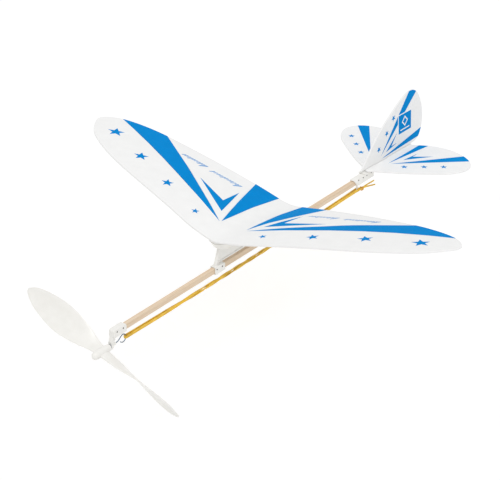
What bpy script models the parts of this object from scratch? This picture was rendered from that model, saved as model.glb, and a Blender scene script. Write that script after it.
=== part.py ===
"""Rubber-band powered model plane: foam wing and tail on a wooden motor stick.

Frame: x = 0 is the plane of symmetry, the nose points along -Y and +Z is up.
Lengths in this file are millimetres from the stick's centreline, below the wing's balance
point, and become metres when a mesh is made. At the end the whole model is shifted, so that
the origin lies at the centre of the flat underside of the wing fitting's front clip.
"""

import math

import bmesh
import bpy
from mathutils import Matrix, Vector

MM = 0.001
WELD = 1e-6                    # merge distance, in metres

# Driving dimensions.
GAP = 0.3                      # between neighbouring pieces
STICK_WIDTH = 4.0
STICK_HEIGHT = 6.0
STICK_FRONT = -188.0
STICK_REAR = 212.0
STICK_EDGE = 0.25              # sanded corner

# Moulded sleeves on the stick.
WALL = 0.9
SLEEVE_X = STICK_WIDTH / 2 + GAP + WALL
SLEEVE_Z = STICK_HEIGHT / 2 + GAP + WALL
PIN_HOLE_RADIUS = 0.75
PIN_HOLE_Z = 1.3
NOSE_SLEEVE = (-189.8, -172.6) # front and rear
FRONT_CLIP = (-45.0, -30.2)    # of the wing fitting
REAR_CLIP = (33.0, 49.0)
PILLAR_WIDTH = 3.8
BOSS_RADIUS = 1.7

# Wing: s runs along the span, t along the chord, both from the origin.
HALF_SPAN = 218.8              # along the sheet
WING_THICKNESS = 2.0
WING_Z = 30.6
DIHEDRAL = math.radians(12.67)
BEND_RADIUS = 6.0              # of the centre bend
CAMBER_SLOPE = -0.0802
CAMBER_CURVE = -0.001525
CAMBER_REFLEX = 6.526e-6
WASHOUT = 1.538e-4
TIP_DROOP = 11.6
WING_EDGE = [(0, -44.0), (30, -41.6), (60, -35.6), (92, -29.2), (124, -22.4), (155, -13.6),
             (180, -2.6), (198, 9.0), (210, 22.5), (HALF_SPAN, 39.5), (212.5, 52.4), (196, 61.8),
             (165, 68.4), (125, 71.6), (85, 74.6), (40, 77.3), (0, 77.3)]

# Tail.
TAIL_THICKNESS = 1.8
STAB_Z = 6.36                  # upper surface at STAB_Y
STAB_Y = 241.5
STAB_SLOPE = -0.0313
STAB_OFFSET = 2.5              # the sheet is cut this far to port of the tail's centre
STAB_EDGE = [(0, 203.0), (8, 208.4), (30, 222.2), (52, 239.0), (69.2, 254.2), (77.6, 272.0),
             (73.4, 287.0), (59.4, 297.4), (40, 302.0), (20, 298.0), (5, 289.4), (0, 287.0)]
FIN_EDGE = [(196.5, 8.2), (210.3, 24.1), (222.1, 36.4), (240.0, 50.0), (264.0, 64.4), (280.0, 69.4),
            (292.5, 64.8), (301.5, 52.0), (306.4, 36.0), (305.6, 19.0), (300.2, 8.6), (293.0, 5.4)]
TAB_FRONT, TAB_REAR = 222.0, 242.0
TAB_DEPTH = 5.0

# Thrust line: it passes through the hook's centre and tilts down towards the nose.
DOWN_THRUST = math.radians(1.0)
HOOK_CENTRE = (0.0, -174.6, -11.7)
HOOK_RADIUS = 4.0
WIRE_RADIUS = 0.5
BORE_RADIUS = 0.62
WASHER_REAR = -18.2            # on the thrust line, from the hook's centre
WASHER_THICKNESS = 0.6
PROP_CENTRE = -28.5
PROP_RADIUS = 93.9
PROP_PITCH = 236.0
PROP_CAMBER = 0.05             # of the blade's width
BLADE_ANGLE = math.radians(159.5)
BLADE_ROOT = 2.0
BLADE_ROOT_THICKNESS = 2.4
BLADE_THINNING = 1.5
BLADE_EDGE = 0.12              # half the thickness at the blade's edge
HALF_CHORD = [(BLADE_ROOT, 6.0), (8, 6.6), (14, 7.8), (24, 10.2), (45, 13.8), (63, 13.4), (79, 10.4),
              (88, 6.6), (PROP_RADIUS, 1.6)]

# Rubber band.
BAND_RADIUS = 0.95
BAND_OPEN = 1.65               # half the distance between strands at the hook
BAND_TIGHT = 1.2               # and along the middle
BAND_TURNS = 2.5
POST_Y = 190.5
POST_RADIUS = 0.8
BAND_POST_Z = -10.4
BAND_SAG = 2.0
KNOT = (0.0, 199.6, -12.4)
KNOT_RADIUS = 2.4

model = None
cutters = None


def new_collection(name):
    collection = bpy.data.collections.new(name)
    bpy.context.scene.collection.children.link(collection)
    return collection


def material(name, color, roughness, metallic=0.0):
    made = bpy.data.materials.new(name)
    made.use_nodes = True
    shader = made.node_tree.nodes["Principled BSDF"]
    shader.inputs["Base Color"].default_value = (*color, 1.0)
    shader.inputs["Roughness"].default_value = roughness
    shader.inputs["Metallic"].default_value = metallic
    return made


def add_object(name, mesh, finish=None):
    made = bpy.data.objects.new(name, mesh)
    model.objects.link(made)
    if finish:
        mesh.materials.clear()
        mesh.materials.append(finish)
    return made


def spline(points, steps):
    """Open Catmull-Rom curve through 2D points, with the given steps between neighbours."""
    last = len(points) - 1
    curve = []
    for i in range(last):
        a, b, c, d = (Vector(points[min(max(i + k, 0), last)]) for k in (-1, 0, 1, 2))
        for step in range(steps):
            u = step / steps
            curve.append(0.5 * (2 * b + (c - a) * u + (2 * a - 5 * b + 4 * c - d) * u ** 2
                                + (3 * b - a - 3 * c + d) * u ** 3))
    curve.append(Vector(points[-1]))
    return [tuple(p) for p in curve]


def mirrored(half):
    """Closed outline from the half at s >= 0, which starts and ends on s = 0."""
    return half + [(-s, t) for s, t in reversed(half[1:-1])]


def box(name, low, high, finish=None):
    bm = bmesh.new()
    bmesh.ops.create_cube(bm, size=1.0)
    size = Vector(high) - Vector(low)
    centre = (Vector(high) + Vector(low)) / 2
    for v in bm.verts:
        v.co = Vector((v.co.x * size.x, v.co.y * size.y, v.co.z * size.z)) * MM + centre * MM
    mesh = bpy.data.meshes.new(name)
    bm.to_mesh(mesh)
    bm.free()
    return add_object(name, mesh, finish)


def rod(name, radius, start, end, segments=16):
    """Straight round bar from start to end."""
    start, end = Vector(start), Vector(end)
    turn = (end - start).to_track_quat("Z", "Y").to_matrix().to_4x4()
    place = Matrix.Translation((start + end) / 2 * MM) @ turn
    bm = bmesh.new()
    bmesh.ops.create_cone(bm, cap_ends=True, segments=segments, radius1=radius * MM, radius2=radius * MM,
                          depth=(end - start).length * MM, matrix=place)
    mesh = bpy.data.meshes.new(name)
    bm.to_mesh(mesh)
    bm.free()
    return add_object(name, mesh)


def to_mesh_object(source, finish=None):
    """Replace an object by its evaluated mesh in world space, with its caps welded."""
    bpy.context.view_layer.update()
    evaluated = source.evaluated_get(bpy.context.evaluated_depsgraph_get())
    mesh = bpy.data.meshes.new_from_object(evaluated)
    mesh.transform(source.matrix_world)
    bm = bmesh.new()
    bm.from_mesh(mesh)
    bmesh.ops.remove_doubles(bm, verts=bm.verts, dist=WELD)
    bm.to_mesh(mesh)
    bm.free()
    name = source.name
    bpy.data.objects.remove(source)
    return add_object(name, mesh, finish)


def plate(name, outline, thickness, upright, finish=None):
    """Flat plate. Its outline is (x, y), or (y, z) in the plane x = 0 when upright."""
    curve = bpy.data.curves.new(name, "CURVE")
    curve.dimensions = "2D"
    curve.fill_mode = "BOTH"
    curve.extrude = thickness / 2 * MM
    path = curve.splines.new("POLY")
    path.points.add(len(outline) - 1)
    path.use_cyclic_u = True
    for point, (a, b) in zip(path.points, outline):
        point.co = (a * MM, b * MM, 0.0, 1.0)
    made = add_object(name, curve)
    if upright:
        made.matrix_world = Matrix(((0, 0, 1, 0), (1, 0, 0, 0), (0, 1, 0, 0), (0, 0, 0, 1)))
    return to_mesh_object(made, finish)


def tube(name, points, radius, finish=None):
    """Wire or strand along 3D points."""
    curve = bpy.data.curves.new(name, "CURVE")
    curve.dimensions = "3D"
    curve.bevel_depth = radius * MM
    curve.bevel_resolution = 2
    curve.use_fill_caps = True
    path = curve.splines.new("POLY")
    path.points.add(len(points) - 1)
    for point, co in zip(path.points, points):
        point.co = (*(Vector(co) * MM), 1.0)
    return to_mesh_object(add_object(name, curve), finish)


def sheet(name, outline, s_cuts, t_cuts, place, thickness, finish=None):
    """Curved sheet: a flat outline, cut along a grid and moved by place(s, t), then thickened."""
    bm = bmesh.new()
    bm.faces.new([bm.verts.new((s, t, 0.0)) for s, t in outline])
    bm.normal_update()
    if bm.faces[:][0].normal.z < 0:
        bmesh.ops.reverse_faces(bm, faces=bm.faces[:])
    for cuts, normal in ((s_cuts, Vector((1, 0, 0))), (t_cuts, Vector((0, 1, 0)))):
        for cut in cuts:
            bmesh.ops.bisect_plane(bm, geom=bm.verts[:] + bm.edges[:] + bm.faces[:], dist=1e-4,
                                   plane_co=normal * cut, plane_no=normal)
    bmesh.ops.triangulate(bm, faces=bm.faces[:])
    for v in bm.verts:
        v.co = Vector(place(v.co.x, v.co.y)) * MM
    mesh = bpy.data.meshes.new(name)
    bm.to_mesh(mesh)
    bm.free()
    made = add_object(name, mesh, finish)
    solid = made.modifiers.new("thickness", "SOLIDIFY")
    solid.thickness = thickness * MM
    solid.offset = -1.0
    return made


def combine(target, others, operation):
    """Boolean the others into the target, in order."""
    for other in others:
        cutters.objects.link(other)
        model.objects.unlink(other)
        other.hide_render = True
        other.display_type = "WIRE"
        step = target.modifiers.new(operation.lower(), "BOOLEAN")
        step.operation = operation
        step.object = other
    return target


def wing_point(s, t, drop=0.0):
    """Point of the wing's upper surface, or of a surface that lies drop below it."""
    span = abs(s)
    lift = (CAMBER_SLOPE * t + CAMBER_CURVE * t ** 2 + CAMBER_REFLEX * t ** 3 + WASHOUT * span * t
            - TIP_DROOP * (span / HALF_SPAN) ** 3 - drop)
    reach = math.hypot(s, BEND_RADIUS)
    x = s * math.cos(DIHEDRAL) - lift * math.sin(DIHEDRAL) * s / reach
    z = WING_Z + reach * math.sin(DIHEDRAL) + lift * math.cos(DIHEDRAL)
    return x, t, z


def wing_under(t, drop):
    """Height on the plane of symmetry of a surface that lies drop below the wing's upper one."""
    return wing_point(0.0, t, drop)[2]


def stab_top(y):
    """Height of the stabiliser's upper surface."""
    return STAB_Z + STAB_SLOPE * (y - STAB_Y)


def on_thrust_line(distance):
    """World point on the thrust line, at a distance behind the hook's centre."""
    return Vector(HOOK_CENTRE) + Vector((0, math.cos(DOWN_THRUST), math.sin(DOWN_THRUST))) * distance


def make_stick(wood):
    half_w, half_h = STICK_WIDTH / 2, STICK_HEIGHT / 2
    stick = box("motor_stick", (-half_w, STICK_FRONT, -half_h), (half_w, STICK_REAR, half_h), wood)
    edge = stick.modifiers.new("edges", "BEVEL")
    edge.width = STICK_EDGE * MM
    edge.segments = 1
    return stick


def stick_pocket(name, front, rear):
    """Cutter for the stick's passage through a fitting."""
    half_w, half_h = STICK_WIDTH / 2 + GAP, STICK_HEIGHT / 2 + GAP
    return box(name, (-half_w, front, -half_h), (half_w, rear, half_h))


def pin_holes(name, places, height):
    """Cutters for round holes across a sleeve, at places along it."""
    reach = SLEEVE_X + 1.0
    return [rod(f"{name}_{i}", PIN_HOLE_RADIUS, (-reach, y, height), (reach, y, height), 10)
            for i, y in enumerate(places)]


def make_nose_bearing(plastic):
    """Sleeve on the stick's front end, and a pillar below it that carries the shaft."""
    front, rear = NOSE_SLEEVE
    side = [(front, SLEEVE_Z - 1.2), (front + 1.2, SLEEVE_Z), (rear - 1.0, SLEEVE_Z),
            (rear, SLEEVE_Z - 1.4), (rear + 0.4, -SLEEVE_Z), (front + 0.8, -SLEEVE_Z),
            (front, -SLEEVE_Z + 0.8)]
    bearing = plate("nose_bearing", side, 2 * SLEEVE_X, True, plastic)
    pillar = [(front + 0.2, -1.0), (-192.3, -7.5), (-192.3, -14.5), (-191.8, -15.0), (-189.6, -15.0),
              (-189.0, -14.5), (-188.6, -9.5), (-185.4, -3.0)]
    boss_front, boss_rear = on_thrust_line(WASHER_REAR + GAP), on_thrust_line(-10.8)
    combine(bearing, [plate("bearing_pillar", pillar, PILLAR_WIDTH, True),
                      rod("bearing_boss", BOSS_RADIUS, boss_front, boss_rear, 20)], "UNION")
    bore_front, bore_rear = on_thrust_line(-25.0), on_thrust_line(-5.0)
    combine(bearing, [stick_pocket("nose_pocket", STICK_FRONT - GAP, rear + 5.0),
                      rod("shaft_bore", BORE_RADIUS, bore_front, bore_rear, 16)]
            + pin_holes("nose_pin_hole", (-185.4, -177.1), PIN_HOLE_Z), "DIFFERENCE")
    return bearing


def carrier(name, location, tilt=0.0):
    """Empty that carries pieces. With a tilt, its Y axis is the thrust line."""
    made = bpy.data.objects.new(name, None)
    made.location = Vector(location) * MM
    made.rotation_euler = (tilt, 0.0, 0.0)
    made.empty_display_size = 0.01
    model.objects.link(made)
    return made


def make_shaft(steel, thrust_axis):
    """Straight wire in the hub and bearing, an S-bend and an open hook ring, in the axis frame."""
    path = [(0, PROP_CENTRE - 8.0, 0), (0, PROP_CENTRE + 8.0, 0), (0, -9.0, 0.0), (0, -7.8, 0.1),
            (0, -6.4, 0.55), (0, -5.0, 1.5), (0, -3.9, 2.3)]
    start, end, steps = math.radians(125), math.radians(-148), 20
    for i in range(steps + 1):
        angle = start + (end - start) * i / steps
        path.append((0, HOOK_RADIUS * math.cos(angle), HOOK_RADIUS * math.sin(angle)))
    shaft = tube("prop_shaft", path, WIRE_RADIUS, finish=steel)
    shaft.parent = thrust_axis
    return shaft


def lathe(name, profile, finish=None):
    """Turned solid about -Y: the profile's (radius, height) runs down the outside and up the bore."""
    mesh = bpy.data.meshes.new(name)
    bm = bmesh.new()
    verts = [bm.verts.new((radius * MM, 0.0, height * MM)) for radius, height in profile]
    for a, b in zip(verts, verts[1:]):
        bm.edges.new((a, b))
    bm.to_mesh(mesh)
    bm.free()
    made = add_object(name, mesh, finish)
    turn = made.modifiers.new("turn", "SCREW")
    turn.steps = turn.render_steps = 28
    turn.use_merge_vertices = True
    turn.merge_threshold = WELD
    made.rotation_euler = (math.radians(90), 0.0, 0.0)
    return to_mesh_object(made, finish)


def make_blade(name):
    """One blade along +X, lofted from sections whose pitch follows a helix."""
    reach = spline(HALF_CHORD, 3)
    around = 6
    bm = bmesh.new()
    rings = []
    for radius, half in reach:
        pitch = math.atan2(PROP_PITCH, 2 * math.pi * radius)
        chord = Vector((0, math.sin(pitch), -math.cos(pitch)))
        normal = Vector((0, math.cos(pitch), math.sin(pitch)))
        thickness = BLADE_ROOT_THICKNESS - BLADE_THINNING * min(1.0, radius / (0.6 * PROP_RADIUS))
        upper, lower = [], []
        for k in range(around + 1):
            w = -1 + 2 * k / around
            bow = PROP_CAMBER * 2 * half * (1 - w * w)
            skin = thickness / 2 * math.sqrt(max(0.0, 1 - w ** 4)) + BLADE_EDGE
            centre = Vector((radius, 0, 0)) + chord * (w * half) + normal * bow
            upper.append(centre + normal * skin)
            lower.append(centre - normal * skin)
        rings.append([bm.verts.new(p * MM) for p in upper + lower[::-1]])
    for a, b in zip(rings, rings[1:]):
        for k in range(len(a)):
            bm.faces.new((a[k], a[k - 1], b[k - 1], b[k]))
    bm.faces.new(rings[0])
    bm.faces.new(rings[-1][::-1])
    bmesh.ops.recalc_face_normals(bm, faces=bm.faces[:])
    mesh = bpy.data.meshes.new(name)
    bm.to_mesh(mesh)
    bm.free()
    return add_object(name, mesh)


def make_propeller(plastic, thrust_axis):
    """Hub with a rounded nose and a blind bore, and the two blades joined to it."""
    hub_rear = -(WASHER_REAR - WASHER_THICKNESS - GAP)
    h = -PROP_CENTRE
    bore_end = h + 8.6
    profile = [(0, h + 12.2), (1.6, h + 11.9), (2.9, h + 10.9), (3.7, h + 9.0), (4.0, h + 6.0),
               (4.0, h - 3.0), (3.8, h - 6.0), (3.5, hub_rear + 0.5), (3.1, hub_rear),
               (BORE_RADIUS, hub_rear), (BORE_RADIUS, bore_end), (0, bore_end)]
    propeller = lathe("propeller", profile, plastic)
    blades = []
    for name, turn in (("blade_a", -BLADE_ANGLE), ("blade_b", math.pi - BLADE_ANGLE)):
        blade = make_blade(name)
        blade.data.transform(Matrix.Translation((0, PROP_CENTRE * MM, 0)) @ Matrix.Rotation(turn, 4, "Y"))
        blade.parent = thrust_axis
        blades.append(blade)
    combine(propeller, blades, "UNION")
    propeller.parent = thrust_axis
    return propeller


def make_washer(steel, thrust_axis):
    inner, outer = 0.75, 2.9
    front, rear = WASHER_THICKNESS - WASHER_REAR, -WASHER_REAR
    profile = [(outer, front), (outer, rear), (inner, rear), (inner, front), (outer, front)]
    washer = lathe("thrust_washer", profile, steel)
    washer.parent = thrust_axis
    return washer


def make_wing(foam, carriage):
    outline = mirrored(spline(WING_EDGE, 4))
    s_cuts = [-200 + 20 * i for i in range(21)] + [-7, 7]
    t_cuts = [-30, -12, 6, 24, 42, 60]
    wing = sheet("wing", outline, s_cuts, t_cuts, wing_point, WING_THICKNESS, foam)
    wing.parent = carriage
    return wing


SADDLE_DROP = WING_THICKNESS + GAP
SADDLE_THICKNESS = 1.2
LIP_HALF_WIDTH = 14.5
LIP_TOP = 2.75                 # below the wing's upper surface
LIP_DEPTH = 7.85
LIP_THICKNESS = 1.2
LIP_Y = -42.45                 # of its rear face
LIP_BOW = 0.03
LIP_UPRIGHT = 3.0              # the lip slopes back below this depth
LIP_SLOPE = 0.65


def lip_rear(s):
    """Rear face of the bow-shaped lip, under the wing's leading edge."""
    return LIP_Y + LIP_BOW * s * s


def lip_point(s, v):
    """Nose lip: hangs below the leading edge and slopes back towards the strut."""
    x, y, z = wing_point(s, lip_rear(s))
    return x, y + LIP_SLOPE * max(0.0, v - LIP_UPRIGHT), z - v


def make_wing_mount(plastic, carriage):
    saddle_outline = ([(s, lip_rear(s) - LIP_THICKNESS / 2) for s in (-10, -5, 0, 5, 10)]
                      + [(10, 44), (7, 48), (-7, 48), (-10, 44)])
    mount = to_mesh_object(sheet("wing_mount", saddle_outline, [-5, 0, 5], [-30, -15, 0, 15, 30],
                                 lambda s, t: wing_point(s, t, SADDLE_DROP), SADDLE_THICKNESS), plastic)
    arc = [(LIP_HALF_WIDTH * math.cos(a), LIP_DEPTH * math.sqrt(math.sin(a)) + LIP_TOP)
           for a in (math.pi * i / 16 for i in range(17))]
    lip = sheet("nose_lip", arc, [-10.5, -7, -3.5, 0, 3.5, 7, 10.5], [LIP_UPRIGHT, 6.5], lip_point,
                LIP_THICKNESS)
    inside = SADDLE_DROP + SADDLE_THICKNESS / 2
    top = [(t, wing_under(t, inside)) for t in range(44, -40, -12)]
    foot, strut_top = 3.7, -35.4
    strut = spline([(-42.4, foot), (-39.4, 12.2), (-36.6, 20.2),
                    (strut_top, wing_under(strut_top, inside))], 4)
    rear_clip_front, rear_clip_rear = REAR_CLIP
    rail_z = 6.1
    web = strut + top[::-1] + [(rear_clip_rear - 2, rail_z), (rear_clip_rear - 2, foot),
                               (rear_clip_front + 1, foot), (rear_clip_front - 1, rail_z),
                               (-35.0, rail_z), (-36.5, rail_z - 1.8), (-36.5, foot)]
    flange = strut + [(y + 1.1, z) for y, z in reversed(strut)]
    rail_low, rail_high, rail_rear = rail_z - 0.1, rail_z + 1.0, rear_clip_rear - 1.5
    rail = [(-38.5, rail_low), (rail_rear, rail_low), (rail_rear, rail_high), (-38.5, rail_high)]
    pieces = [plate("mount_web", web, 1.3, True), plate("mount_flange", flange, 3.2, True),
              plate("mount_rail", rail, 3.0, True), lip]
    for name, (low, high) in (("front_clip", FRONT_CLIP), ("rear_clip", REAR_CLIP)):
        clip = [(low, -SLEEVE_Z), (high, -SLEEVE_Z), (high, SLEEVE_Z - 1.8), (high - 0.5, SLEEVE_Z - 0.5),
                (high - 1.8, SLEEVE_Z), (low, SLEEVE_Z)]
        pieces.append(plate(name, clip, 2 * SLEEVE_X, True))
    combine(mount, pieces, "UNION")
    passages = [stick_pocket("front_passage", FRONT_CLIP[0] - 3, FRONT_CLIP[1] + 3),
                stick_pocket("rear_passage", REAR_CLIP[0] - 3, REAR_CLIP[1] + 3)]
    holes = pin_holes("mount_pin_hole", (-42.6, -34.6, 37.6, 44.6), PIN_HOLE_Z)
    combine(mount, passages + holes, "DIFFERENCE")
    mount.parent = carriage
    return mount


def make_tail_clip(plastic):
    rear = 216.4
    side = [(180.8, SLEEVE_Z), (rear, SLEEVE_Z), (rear, -SLEEVE_Z), (188.0, -SLEEVE_Z), (185.4, -1.5)]
    clip = plate("tail_clip", side, 2 * SLEEVE_X, True, plastic)
    under = TAIL_THICKNESS + GAP
    platform = [(199.0, stab_top(199.0) - under), (250.0, stab_top(250.0) - under),
                (250.0, stab_top(250.0) - under - 1.3), (rear - 2.0, 3.5), (199.0, 3.5)]
    front_side, rear_side, root = POST_Y - POST_RADIUS, POST_Y + POST_RADIUS, -SLEEVE_Z + 0.3
    toe = POST_Y + 3.2
    post = [(front_side, root), (rear_side, root), (rear_side, -12.0), (toe, -12.6), (toe, -13.7),
            (front_side, -13.3)]
    combine(clip, [plate("tail_platform", platform, 8.4, True),
                   plate("rubber_post", post, 2 * POST_RADIUS, True)], "UNION")
    slot_x = TAIL_THICKNESS / 2 + GAP
    slot = box("platform_slot", (-slot_x, TAB_FRONT - GAP, 0.0), (slot_x, TAB_REAR + GAP, 9.0))
    combine(clip, [stick_pocket("tail_pocket", 175.0, STICK_REAR + GAP), slot]
            + pin_holes("tail_pin_hole", (188.8, 196.9, 203.4, 211.2), PIN_HOLE_Z + 0.9), "DIFFERENCE")
    return clip


def make_stabiliser(foam):
    outline = [(s + STAB_OFFSET, y) for s, y in mirrored(spline(STAB_EDGE, 5))]
    slot_x = TAIL_THICKNESS / 2 + GAP
    stabiliser = plate("stabiliser", outline, TAIL_THICKNESS, False, foam)
    stabiliser.data.transform(Matrix.Translation((0, -STAB_Y * MM, 0)))
    stabiliser.location = Vector((0, STAB_Y, STAB_Z - TAIL_THICKNESS / 2)) * MM
    stabiliser.rotation_euler = (math.atan(STAB_SLOPE), 0.0, 0.0)
    slot = box("stabiliser_slot", (-slot_x, TAB_FRONT - GAP, -5.0), (slot_x, TAB_REAR + GAP, 15.0))
    combine(stabiliser, [slot], "DIFFERENCE")
    return stabiliser


def make_fin(foam):
    base = [(TAB_REAR, stab_top(TAB_REAR) + GAP), (TAB_REAR, stab_top(TAB_REAR) - TAB_DEPTH),
            (TAB_FRONT, stab_top(TAB_FRONT) - TAB_DEPTH), (TAB_FRONT, stab_top(TAB_FRONT) + GAP)]
    return plate("fin", spline(FIN_EDGE, 4) + base, TAIL_THICKNESS, True, foam)


def band_strand(side, steps=44):
    """Strand from the hook to the knot: open at the hook and the post, wound along the middle."""
    start = Vector(HOOK_CENTRE) + Vector((0, HOOK_RADIUS, 0))
    points = []
    for i in range(steps + 1):
        u = i / steps
        y = start.y + (POST_Y - start.y) * u
        z = start.z + (BAND_POST_Z - start.z) * u - BAND_SAG * 4 * u * (1 - u)
        ease = min(1.0, max(0.0, (u - 0.12) / 0.78))
        wind = 2 * math.pi * BAND_TURNS * ease * ease * (3 - 2 * ease)
        middle = math.sin(math.pi * u) ** 0.5
        ends = BAND_OPEN + 0.45 * u
        half = ends + (BAND_TIGHT - ends) * middle
        points.append((side * half * math.cos(wind), y, z + side * half * math.sin(wind)))
    return points


def make_rubber_band(rubber):
    """One strand from the knot, round the hook and back, with the knot and its two free ends."""
    start = Vector(HOOK_CENTRE) + Vector((0, HOOK_RADIUS, 0))
    bend = [(BAND_OPEN * math.sin(a), start.y - BAND_OPEN * math.cos(a), start.z)
            for a in (math.pi * (i / 6 - 0.5) for i in range(1, 6))]
    knot = Vector(KNOT)
    port_side, star_side = band_strand(1.0), band_strand(-1.0)
    turned = 1.0 if math.cos(2 * math.pi * BAND_TURNS) > 0 else -1.0

    def into_knot(side):
        return [(side * 1.7, POST_Y + 4.5, knot.z + 1.2), tuple(knot + Vector((side * 1.15, 0, 0)))]

    path = into_knot(-turned)[::-1] + star_side[::-1] + bend + port_side + into_knot(turned)
    band = tube("rubber_band", path, BAND_RADIUS, finish=rubber)
    bm = bmesh.new()
    shape = Matrix.Diagonal((1.0, 1.25, 0.95, 1.0))
    bmesh.ops.create_icosphere(bm, subdivisions=2, radius=KNOT_RADIUS * MM,
                               matrix=Matrix.Translation(knot * MM) @ shape)
    mesh = bpy.data.meshes.new("knot")
    bm.to_mesh(mesh)
    bm.free()
    ends = []
    for i, (x, y, z) in enumerate(((-1.7, 223.8, -13.6), (1.9, 220.8, -15.9))):
        mid = (x * 0.8, 211.0, KNOT[2] - 0.6 * i)
        ends.append(tube(f"free_end_{i}", [tuple(knot + Vector((x * 0.45, 1.0, 0))), mid, (x, y, z)], 0.75))
    combine(band, [add_object("knot", mesh)] + ends, "UNION")
    return band


def build():
    global model, cutters
    for old in list(bpy.data.objects):
        bpy.data.objects.remove(old)
    model = new_collection("rubber_powered_plane")
    cutters = new_collection("cutters")
    wood = material("wood", (0.82, 0.66, 0.47), 0.65)
    foam = material("foam", (0.93, 0.93, 0.92), 0.55)
    plastic = material("white_plastic", (0.88, 0.88, 0.86), 0.35)
    steel = material("steel_wire", (0.30, 0.34, 0.38), 0.30, 1.0)
    rubber = material("rubber", (0.86, 0.58, 0.10), 0.45)

    thrust_axis = carrier("thrust_axis", HOOK_CENTRE, DOWN_THRUST)
    carriage = carrier("wing_carriage", (0, 0, 0))
    make_stick(wood)
    make_nose_bearing(plastic)
    make_shaft(steel, thrust_axis)
    make_propeller(plastic, thrust_axis)
    make_washer(steel, thrust_axis)
    make_wing(foam, carriage)
    make_wing_mount(plastic, carriage)
    make_tail_clip(plastic)
    make_stabiliser(foam)
    make_fin(foam)
    make_rubber_band(rubber)
    for piece in model.objects:
        if piece.type == "MESH":
            piece.data.shade_smooth()
            piece.data.set_sharp_from_angle(angle=math.radians(35))
    whole = carrier("whole_plane", (0, -sum(FRONT_CLIP) / 2, SLEEVE_Z))
    for piece in list(model.objects) + list(cutters.objects):
        if not piece.parent and piece is not whole:
            piece.parent = whole


build()
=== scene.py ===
"""Looks of the rubber-powered model plane, built around its CAD frame.

The foam sheets of the wing, the stabiliser and the fin are cut from flat outlines together with
their blue print, so that the print has clean edges, and the wing's is then bent to shape. The
moulded fittings are slabs with rounded edges. The rubber is a flat strip that winds round itself.

Lengths are millimetres from the stick's centreline, with x = 0 on the plane of symmetry, the
nose along -Y and +Z up. SHIFT takes them to the frame's metres.
"""

import math

import bmesh
import bpy
from mathutils import Matrix, Vector
from mathutils.geometry import delaunay_2d_cdt


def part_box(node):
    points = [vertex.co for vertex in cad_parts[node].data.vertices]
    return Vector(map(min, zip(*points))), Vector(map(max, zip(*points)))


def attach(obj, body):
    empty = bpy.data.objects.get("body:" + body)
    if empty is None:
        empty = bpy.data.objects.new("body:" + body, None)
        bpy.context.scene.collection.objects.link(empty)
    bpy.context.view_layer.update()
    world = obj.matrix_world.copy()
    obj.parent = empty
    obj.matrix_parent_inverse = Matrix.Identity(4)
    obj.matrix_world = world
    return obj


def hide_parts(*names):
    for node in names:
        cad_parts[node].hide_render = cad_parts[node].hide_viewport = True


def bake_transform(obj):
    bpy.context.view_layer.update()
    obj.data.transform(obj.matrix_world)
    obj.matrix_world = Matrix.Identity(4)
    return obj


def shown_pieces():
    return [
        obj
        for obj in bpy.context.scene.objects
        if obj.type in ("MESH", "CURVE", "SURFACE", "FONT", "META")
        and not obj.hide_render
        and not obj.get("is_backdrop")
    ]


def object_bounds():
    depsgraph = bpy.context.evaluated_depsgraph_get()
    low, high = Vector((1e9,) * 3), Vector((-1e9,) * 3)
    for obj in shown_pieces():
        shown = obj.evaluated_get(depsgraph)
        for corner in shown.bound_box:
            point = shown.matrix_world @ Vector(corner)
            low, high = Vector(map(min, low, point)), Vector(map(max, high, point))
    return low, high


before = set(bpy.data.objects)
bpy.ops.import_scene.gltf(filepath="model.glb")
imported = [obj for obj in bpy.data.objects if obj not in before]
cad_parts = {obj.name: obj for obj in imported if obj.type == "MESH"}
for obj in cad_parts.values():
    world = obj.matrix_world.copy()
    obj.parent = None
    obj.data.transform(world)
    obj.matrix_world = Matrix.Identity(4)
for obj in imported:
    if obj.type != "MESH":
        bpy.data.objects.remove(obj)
CAD_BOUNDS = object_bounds()

MM = 0.001
STICK_FRONT = -188.0
stick_low, stick_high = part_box("motor_stick")
SHIFT = Vector((0.0, stick_low.y - STICK_FRONT * MM, (stick_low.z + stick_high.z) / 2))

# Stick and the moulded sleeves on it.
GAP = 0.3
STICK_REAR = 212.0
POCKET_X = 2.0 + GAP
POCKET_Z = 3.0 + GAP
SLEEVE_X = 3.2
SLEEVE_Z = 4.2
SLEEVE_ROUND = 0.45
PIN_HOLE_RADIUS = 0.75
PIN_HOLE_Z = 1.3
# The pin holes are blind, and their inner faces take a near-black material: painted shade, where a real
# hole would show the stick through it.
PIN_HOLE_DEPTH = 0.7           # blind, and dark inside
NOSE_SLEEVE = (-189.8, -172.6)
NOSE_PIN_HOLES = (-185.4, -177.1)
FRONT_CLIP = (-45.0, -30.2)
REAR_CLIP = (33.0, 49.0)
CLIP_PIN_HOLES = (-42.6, -34.6, 37.6, 44.6)
TAIL_SLEEVE_REAR = 216.4
TAIL_PIN_HOLES = (188.8, 196.9, 203.4, 211.2)
TAIL_PIN_HOLE_Z = PIN_HOLE_Z + 0.9

# Wing: s runs along the span, t along the chord.
HALF_SPAN = 218.8
WING_THICKNESS = 2.0
WING_Z = 30.6
DIHEDRAL = math.radians(12.67)
BEND_RADIUS = 6.0
CAMBER_SLOPE = -0.0802
CAMBER_CURVE = -0.001525
CAMBER_REFLEX = 6.526e-6
WASHOUT = 1.538e-4
TIP_DROOP = 11.6
WING_EDGE = [(0, -44.0), (30, -41.6), (60, -35.6), (92, -29.2), (124, -22.4), (155, -13.6),
             (180, -2.6), (198, 9.0), (210, 22.5), (HALF_SPAN, 39.5), (212.5, 52.4), (196, 61.8),
             (165, 68.4), (125, 71.6), (85, 74.6), (40, 77.3), (0, 77.3)]

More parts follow.
